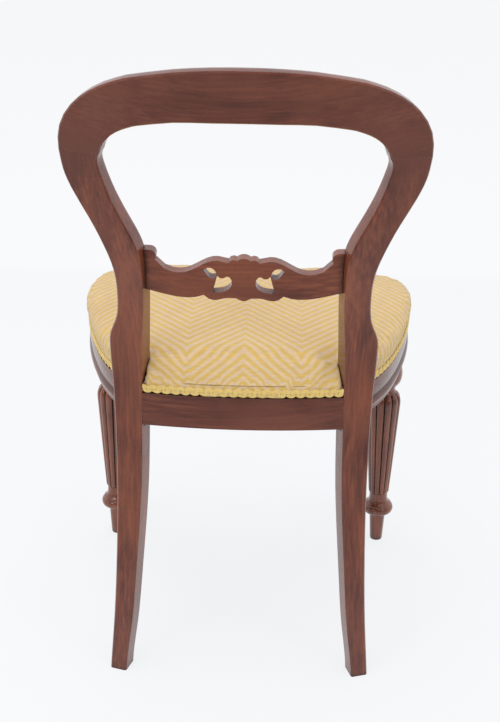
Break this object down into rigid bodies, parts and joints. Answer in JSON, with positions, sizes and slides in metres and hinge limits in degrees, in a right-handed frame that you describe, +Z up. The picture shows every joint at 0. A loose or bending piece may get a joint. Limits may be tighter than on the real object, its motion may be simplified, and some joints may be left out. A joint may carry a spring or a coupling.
{
  "type": "balloon back dining chair",
  "caption": "Carved wooden side chair with a rounded open hoop back, pierced scroll splat, reeded turned front legs and a domed upholstered seat.",
  "frame": {"origin": "on the floor under the middle of the chair's overall box", "axes": "+Z up, the sitter faces -Y, +X is the sitter's left"},
  "size_m": [0.4946, 0.4958, 0.8738],
  "materials": {
    "mahogany": "polished",
    "beech": "matte",
    "jute_webbing": "matte",
    "hessian": "matte",
    "stuffing": "matte",
    "chevron_cloth": "matte",
    "gimp": "satin",
    "black_cloth": "matte"
  },
  "bodies": {
    "root": {"crest_rail": "mahogany", "rear_post_left": "mahogany", "rear_post_right": "mahogany", "splat": "mahogany", "rear_seat_rail": "mahogany", "side_seat_rail_left": "mahogany", "side_seat_rail_right": "mahogany", "front_seat_rail": "mahogany", "front_leg_left": "mahogany", "front_leg_right": "mahogany", "corner_block_front_left": "beech", "corner_block_front_right": "beech", "corner_block_rear_left": "beech", "corner_block_rear_right": "beech", "crest_dowels": "beech", "side_rail_dowels": "beech", "rear_rail_dowels": "beech", "front_rail_dowels": "beech", "webbing_lengthwise": "jute_webbing", "webbing_crosswise": "jute_webbing", "hessian": "hessian", "seat_stuffing": "stuffing", "seat_cover": "chevron_cloth", "gimp_rear": "gimp", "gimp_front": "gimp", "dust_cover": "black_cloth"}
  },
  "joints": []
}
